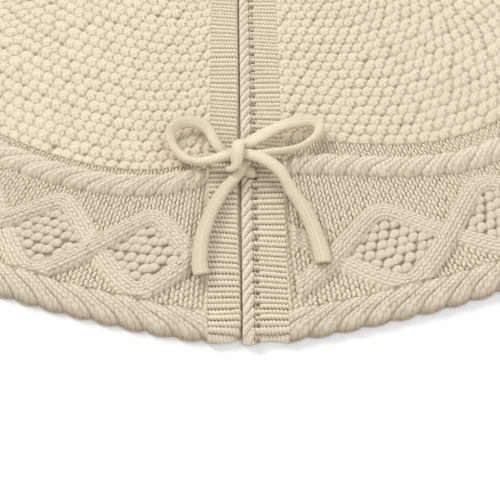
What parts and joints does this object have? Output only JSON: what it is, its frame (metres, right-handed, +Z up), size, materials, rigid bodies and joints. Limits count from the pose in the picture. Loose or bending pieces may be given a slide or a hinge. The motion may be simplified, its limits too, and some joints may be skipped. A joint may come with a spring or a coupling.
{
  "type": "tree skirt",
  "caption": "Round knitted tree skirt with a cable border, a front slit edged with ribbed bands and a tied bow, folding in half.",
  "frame": {"origin": "middle of the flat disc, on the floor", "axes": "+Z up from the floor; the slit and its bow lie towards -Y; the skirt folds in half along X"},
  "size_m": [1.22, 1.22, 0.0367],
  "materials": {
    "body_knit": "cream chunky yarn in moss stitch, matt",
    "border_knit": "cream chunky yarn in cables on reverse stocking stitch, matt",
    "band_knit": "cream chunky yarn in ribbed ridges, matt",
    "tie_cord": "cream fine-knit flat tube cord, matt"
  },
  "bodies": {
    "front_half": {"body_front_gore_left": "body_knit", "body_front_gore_right": "body_knit", "body_second_gore_left": "body_knit", "body_second_gore_right": "body_knit", "body_side_gore_front_left": "body_knit", "body_side_gore_front_right": "body_knit", "border_front_left": "border_knit", "border_front_right": "border_knit", "chain_edge_right": "band_knit", "front_band_left": "band_knit", "front_band_right": "band_knit", "neck_band_front_left": "band_knit", "neck_band_front_right": "band_knit", "tie_cord_left": "tie_cord", "tie_cord_right": "tie_cord", "tie_tab_left": "tie_cord", "tie_tab_right": "tie_cord"},
    "back_half": {"body_back_gore": "body_knit", "body_rear_gore_left": "body_knit", "body_rear_gore_right": "body_knit", "body_side_gore_back_left": "body_knit", "body_side_gore_back_right": "body_knit", "border_back_left": "border_knit", "border_back_right": "border_knit", "neck_band_back": "band_knit"}
  },
  "joints": [
    {"name": "fold_in_half", "type": "hinge", "parent": "front_half", "child": "back_half", "pos_m": [0, 0, 0.0163], "axis": [1, 0, 0], "range_deg": [0, 165]}
  ]
}
